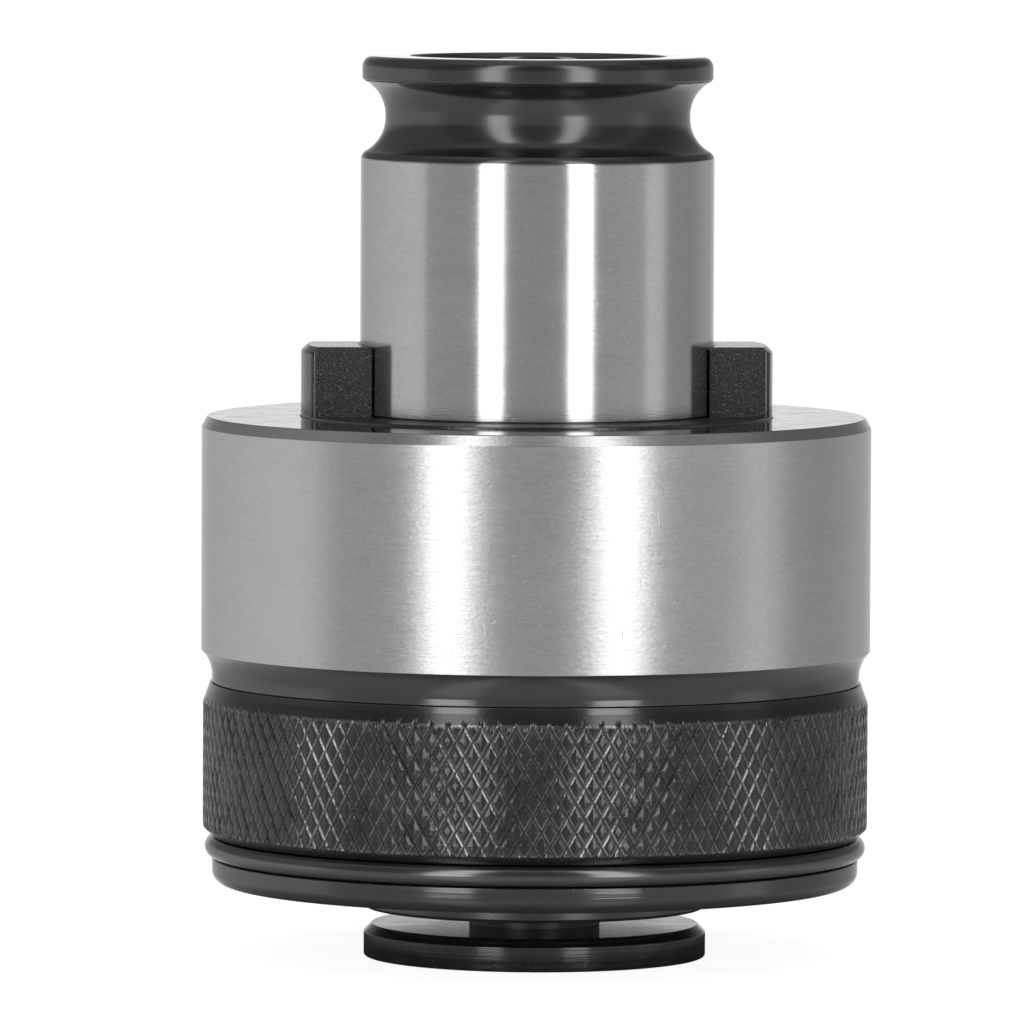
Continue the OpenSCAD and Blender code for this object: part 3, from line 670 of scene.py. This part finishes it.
def knurl_triangles(depth, stagger):
    """Triangles of the knurl's lattice, a row at a time. Two neighbours in a row and the points above and
    below the middle between them make a diamond, which is split along its shallower diagonal."""
    rows, columns = depth.shape
    depth = depth.ravel()
    column = np.arange(columns)
    on = (column + 1) % columns
    triangles = []
    for row in range(rows):
        left, right = row * columns + column, row * columns + on
        between = column if stagger[row] == 0 else on
        top, bottom = (row + 1) * columns + between, (row - 1) * columns + between
        upper, lower = np.stack([left, right, top], 1), np.stack([left, bottom, right], 1)
        if row == 0:
            triangles.append(upper)
        elif row == rows - 1:
            triangles.append(lower)
        else:
            across = (depth[left] + depth[right] <= depth[top] + depth[bottom])[:, None]
            triangles.append(np.where(across, upper, np.stack([left, bottom, top], 1)))
            triangles.append(np.where(across, lower, np.stack([bottom, right, top], 1)))
    return np.concatenate(triangles)


def knurled_nut():
    """Adjusting nut: a closed turned profile whose outer rows carry a diamond knurl. The radius there is the
    smaller of the plain profile and the knurl's circle less the knurl's depth."""
    columns = KNURL_STEPS * KNURL_GROOVES
    rise = 2 * math.pi * KNURL_R / columns / 2 / math.tan(KNURL_LEAN)
    rows = int((KNURL_HIGH - KNURL_LOW) / rise) + 1
    z = KNURL_LOW + rise * np.arange(rows)
    plain = np.minimum(KNURL_R, KNURL_R - KNURL_CHAMFER + z - LOCK_GROOVE_TOP)
    plain = np.minimum(plain, KNURL_R - NUT_CHAMFER_R + (SEAM_Z - z) * NUT_CHAMFER_R / NUT_CHAMFER_H)
    # The last two corners are the knurl's own ends, which only give the corners beside them their direction
    smooth = rounded([
        (KNURL_R - NUT_CHAMFER_R, SEAM_Z, 0.08), (NUT_BORE_R, SEAM_Z, 0.15), (NUT_BORE_R, NUT_FLOOR, 0.15),
        (NUT_HOLE_R, NUT_FLOOR, 0.15), (NUT_HOLE_R, NUT_BOTTOM, 0.25), (LIP_R, NUT_BOTTOM, LIP_ROUND),
        (LIP_R, LIP_TOP, 0.12), (LOCK_GROOVE_R, LIP_TOP, 0.1), (LOCK_GROOVE_R, LOCK_GROOVE_TOP, 0.1),
        (KNURL_R - KNURL_CHAMFER, LOCK_GROOVE_TOP, 0.1), (plain[0], KNURL_LOW, 0), (plain[-1], z[-1], 0),
    ])[:-2]
    profile = np.concatenate([np.stack([plain, z], 1), smooth])
    stagger = np.zeros(len(profile))
    stagger[1:rows:2] = 0.5
    points, normals = turn_profile(profile, columns, stagger)
    depth = knurl_depths(rows, columns, stagger)
    knurl = slice(0, rows * columns)
    radius = np.minimum(plain[:, None], KNURL_R - depth)
    points[knurl, :2] *= (radius / plain[:, None]).reshape(-1, 1)
    wear = np.repeat(edge_wear(profile, NUT_WEAR_WIDTH), columns)
    wear[knurl] = 0
    quads = ring_quads(len(profile), columns)[(rows - 1) * columns:]
    blocks = [(knurl_triangles(depth, stagger), 1, True), (quads, 0, False)]
    return write_mesh("knurled_nut", points, blocks, normals, wear, [BLACK, KNURL])


def wire_ring():
    """Lock ring: a round wire that starts as a short tang towards the axis, bends through a quarter circle
    and runs round the nut's groove to just short of where it began."""
    centre_r = reach("lock_ring") - WIRE_R
    z = (LOCK_RING_BOTTOM + LOCK_RING_TOP) / 2
    bend_foot = centre_r - WIRE_BEND_R
    s = np.linspace(0, 1, 6)[:-1]
    tang = np.stack([TANG_IN_R + (bend_foot - TANG_IN_R) * s, 0 * s], 1)
    q = np.linspace(0, math.pi / 2, 10)[:-1]
    bend = np.stack([bend_foot + WIRE_BEND_R * np.sin(q), WIRE_BEND_R - WIRE_BEND_R * np.cos(q)], 1)
    a = np.linspace(math.asin(WIRE_BEND_R / centre_r), 2 * math.pi - WIRE_GAP / centre_r, 260)
    flat = np.concatenate([tang, bend, centre_r * np.stack([np.cos(a), np.sin(a)], 1)])
    path = np.stack([-flat[:, 1], flat[:, 0], z + 0 * flat[:, 0]], 1)
    radius = np.full(len(path), WIRE_R)
    radius[[0, -1]] = WIRE_END_R
    return sweep("lock_wire", path, radius, 20, [WIRE])


def collar():
    """Collar: a turned cup round the spindle's hub, with the release sleeve's hole through its floor."""
    corners = [(COLLAR_BORE_R, COLLAR_BOTTOM, 0.1), (COLLAR_R, COLLAR_BOTTOM, 0.3),
               (COLLAR_R, COLLAR_TOP, 0.3), (HUB_R, COLLAR_TOP, 0.1), (HUB_R, HUB_BOTTOM, 0.1),
               (COLLAR_BORE_R, HUB_BOTTOM, 0.1)]
    return lathe("collar", corners, [SATIN_BLACK])


def release_disc():
    """Release ring: a turned disc with a chamfered top edge and a faced top."""
    corners = [(SPIGOT_R, 0, 0.15), (RELEASE_R, 0, 0.22), (RELEASE_R, RELEASE_TOP - RELEASE_CHAMFER, 0.1),
               (RELEASE_R - RELEASE_CHAMFER, RELEASE_TOP, 0.1), (SPIGOT_R, RELEASE_TOP, 0.1)]
    top = (1, 0, RELEASE_R - 0.6, RELEASE_TOP - 0.03, RELEASE_TOP + 0.03)
    return lathe("release_disc", corners, [BLACK, ROUGH_FACED_BLACK], zones=[top])


def disc_spring(index):
    """A coned disc: a slanted bar of the spring's thickness, turned about Z. Odd discs rest on their outer
    edge."""
    low, high = heights(f"disc_spring_{index}")
    inner, outer = DISC_BORE_R, reach(f"disc_spring_{index}")
    rise = high - low - DISC_THICK
    inner_z, outer_z = (low + rise, low) if index % 2 else (low, low + rise)
    corners = [(inner, inner_z, 0.2), (outer, outer_z, 0.2),
               (outer, outer_z + DISC_THICK, 0.2), (inner, inner_z + DISC_THICK, 0.2)]
    return lathe(f"spring_disc_{index}", corners, [SPRING], DISC_COLUMNS)


def coil_spring():
    """The release spring: a wire along a helix of three turns between the sleeve and the tap bush."""
    low, high = heights("release_spring")
    a = np.linspace(0, 2 * COIL_TURNS * math.pi, COIL_POINTS)
    coil_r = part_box("release_spring")[1].x / MM - COIL_WIRE_R
    z = low + COIL_WIRE_R + (high - low - 2 * COIL_WIRE_R) * np.linspace(0, 1, COIL_POINTS)
    path = np.stack([coil_r * np.cos(a), coil_r * np.sin(a), z], 1)
    return sweep("push_spring", path, np.full(COIL_POINTS, COIL_WIRE_R), 14, [SPRING])


def settle(piece, body, finish_slot, *nodes):
    """Makes a piece ride on its body in place of these CAD nodes."""
    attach(piece, body)
    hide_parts(*nodes)


settle(housing(), "housing", "ground_steel", "clutch_housing")
settle(dog_ring(), "housing", "cast_steel", "drive_dog_ring")
settle(knurled_nut(), "nut", "black_oxide", "adjusting_nut")
settle(wire_ring(), "nut", "spring_steel", "lock_ring")
settle(collar(), "spindle", "black_oxide", "spindle_collar")
settle(release_disc(), "release", "black_oxide", "release_ring")
for number in (1, 2, 3, 4):
    disc = disc_spring(number)
    settle(disc, "spring_seat", "spring_steel", f"disc_spring_{number}")
    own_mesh(disc)
coil = coil_spring()
settle(coil, "spindle", "spring_steel", "release_spring")
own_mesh(coil)

# Finishes of the CAD nodes that stay, nearly all of them inside
INNER = {
    "dog_ring_dowels": BEARING, "shank_bush": BRONZE, "thrust_race": BEARING, "thrust_cage": BRONZE,
    "thrust_balls": BEARING, "ball_carrier": MACHINED, "carrier_keys": BEARING, "carrier_snap_ring": SPRING,
    "drive_balls": BEARING, "pressure_ring": MACHINED, "seat_washer": MACHINED, "clutch_spindle": MACHINED,
    "tap_bush": MACHINED, "bush_pin": BEARING, "journal_washer": BEARING, "journal_circlip": SPRING,
    "release_sleeve": DULL_BLACK, "lock_ball_1": BEARING, "lock_ball_2": BEARING, "lock_ball_3": BEARING,
}
for node_name, finish in INNER.items():
    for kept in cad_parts[node_name].material_slots:
        kept.material = finish


# Floor, light and camera

# The floor's half side and height in millimetres, and how bright the camera sees it
FLOOR_HALF_SIDE = 9000.0
FLOOR_Z = -0.02
FLOOR_GLOW = 0.93

# The camera's angles, its distance in metres, and its sensor, lens and aim in millimetres
CAMERA_TURN = math.radians(-3.9)
CAMERA_RISE = math.radians(3.8)
CAMERA_ROLL = math.radians(0.24)
CAMERA_AWAY = 0.970
SENSOR, FOCAL_LENGTH = 36.0, 401.7
AIM_ASIDE, AIM_Z = -2.05, 37.75

# The strip lights in metres, and their radiance
STRIP_WIDTH, STRIP_HEIGHT, STRIP_FOOT = 0.165, 1.14, -0.06
STRIP_AWAY = 0.6
STRIP_GLOW = 2.4

# Tones of the room round the object, by degrees from the camera's side: left is negative
ROOM = [(-180, 1.20), (-172, 0.80), (-163, 0.52), (-150, 0.46), (-120, 0.58), (-90, 0.66), (-79, 0.64),
        (-76, 0.42), (-60, 0.39), (-40, 0.38), (0, 0.35), (40, 0.40), (60, 0.44), (73, 0.47), (77, 0.70),
        (88, 0.66), (96, 0.36), (120, 0.33), (140, 0.42), (152, 0.42), (163, 0.52), (172, 0.80), (180, 1.20)]

# Tones of the floor in the same way: the strips and the white behind the object shine back from it
FLOOR = [(-180, 1.00), (-165, 0.85), (-148, 0.52), (-120, 0.46), (-60, 0.42), (-42, 0.44), (-36, 0.80),
         (-24, 0.80), (-18, 0.44), (0, 0.42), (17, 0.44), (23, 0.80), (34, 0.80), (40, 0.44), (60, 0.42),
         (120, 0.46), (148, 0.52), (165, 0.85), (180, 1.00)]


def floor():
    """A wide pale floor. Camera rays see it near white, with the object's soft shadow on it, and mirror rays
    pass it to see the room, except close to the object. From below it is clear."""
    far, z = FLOOR_HALF_SIDE, FLOOR_Z
    corners = np.array([(-far, -far, z), (far, -far, z), (far, far, z), (-far, far, z)])
    piece = write_mesh("floor", corners, [(np.array([[0, 1, 2, 3]]), 0, False)])
    made = bpy.data.materials.new("floor_finish")
    wire = bare_tree(made)
    camera_ray = wire.node("LightPath", output="Is Camera Ray")
    mirrored = wire.node("LightPath", output="Is Glossy Ray") * wire.place().r.ease(24.0, 46.0)
    unseen = wire.maths("MAXIMUM", mirrored, wire.node("NewGeometry", output="Backfacing"))
    matt = wire.node("BsdfDiffuse", None, {"Color": grey(0.4)})
    glow = wire.node("Emission", None, {"Color": grey(1), "Strength": camera_ray * FLOOR_GLOW})
    both = wire.node("AddShader", None, {0: matt, 1: glow})
    clear = wire.node("BsdfTransparent")
    surface = wire.node("MixShader", None, {0: unseen, 1: both, 2: clear})
    wire.node("OutputMaterial", None, {"Surface": surface})
    piece.data.materials.append(made)
    piece.visible_shadow = False


def surround():
    """The room: white to the camera, and to the metal a grey that is palest behind the object and to its
    sides. Tones go round by direction. Above the horizon the walls and the ceiling are darker, and below it
    the floor takes over."""
    world = bpy.data.worlds.new("room")
    bpy.context.scene.world = world
    wire = bare_tree(world)
    x, y, z = wire.split(wire.node("TexCoord", output="Generated"))
    turn = wire.maths("ARCTAN2", x * math.cos(CAMERA_TURN) + y * math.sin(CAMERA_TURN),
                      x * math.sin(CAMERA_TURN) - y * math.cos(CAMERA_TURN)) / (2 * math.pi) + 0.5
    ramps = [[(degrees / 360 + 0.5, grey(tone)) for degrees, tone in tones] for tones in (ROOM, FLOOR)]
    walls, ground = (wire.node("ValToRGB", {"stops": stops}, {0: turn}) for stops in ramps)
    upper = wire.node("Mix", {"data_type": "RGBA"}, {0: 0.62, 6: walls, 7: grey(0)}, 2)
    tone = z.ease(0.02, 0.2).blend(walls, upper)
    tone = (0 - z).ease(0.12, 0.4).blend(tone, ground)
    tone = z.ease(0.75, 0.95).blend(tone, grey(0.4))
    tone = wire.node("LightPath", output="Is Camera Ray").blend(tone, grey(1))
    back = wire.node("Background", None, {"Color": tone, "Strength": 1.0})
    wire.node("OutputWorld", None, {"Surface": back})


def strip_light(name, turn):
    """A standing strip softbox at an angle in degrees round the object from the camera, facing the object.
    Its power gives the radiance STRIP_GLOW: power = glow * pi * area."""
    lamp = bpy.data.lights.new(name, "AREA")
    lamp.shape, lamp.size, lamp.size_y = "RECTANGLE", STRIP_WIDTH, STRIP_HEIGHT
    lamp.energy = STRIP_GLOW * math.pi * STRIP_WIDTH * STRIP_HEIGHT
    holder = bpy.data.objects.new(name, lamp)
    bpy.context.collection.objects.link(holder)
    a = CAMERA_TURN + math.radians(turn)
    middle = STRIP_FOOT + STRIP_HEIGHT / 2
    holder.location = (STRIP_AWAY * math.sin(a), -STRIP_AWAY * math.cos(a), middle)
    aim = Vector((0, 0, middle)) - Vector(holder.location)
    holder.rotation_euler = aim.to_track_quat("-Z", "Y").to_euler()
    holder.visible_camera = False


def camera():
    """The camera at the photograph's angle. It stands a little to one side and above, is rolled slightly,
    and aims at a point just beside the axis."""
    lens = bpy.data.cameras.new("photo_camera")
    lens.sensor_width, lens.lens = SENSOR, FOCAL_LENGTH
    lens.clip_start, lens.clip_end = 0.05, 40.0
    holder = bpy.data.objects.new("photo_camera", lens)
    bpy.context.collection.objects.link(holder)
    aside = Vector((math.cos(CAMERA_TURN), math.sin(CAMERA_TURN), 0))
    target = AIM_ASIDE * MM * aside + Vector((0, 0, AIM_Z * MM))
    level = math.cos(CAMERA_RISE)
    back = Vector((math.sin(CAMERA_TURN) * level, -math.cos(CAMERA_TURN) * level, math.sin(CAMERA_RISE)))
    turn = (-back).to_track_quat("-Z", "Y").to_matrix().to_4x4()
    place = Matrix.Translation(target + CAMERA_AWAY * back)
    holder.matrix_world = place @ turn @ Matrix.Rotation(CAMERA_ROLL, 4, "Z")
    bpy.context.scene.camera = holder


floor()
surround()
strip_light("left_strip", -29.6)
strip_light("right_strip", 28.0)
camera()
bpy.context.scene.view_settings.view_transform = "Standard"
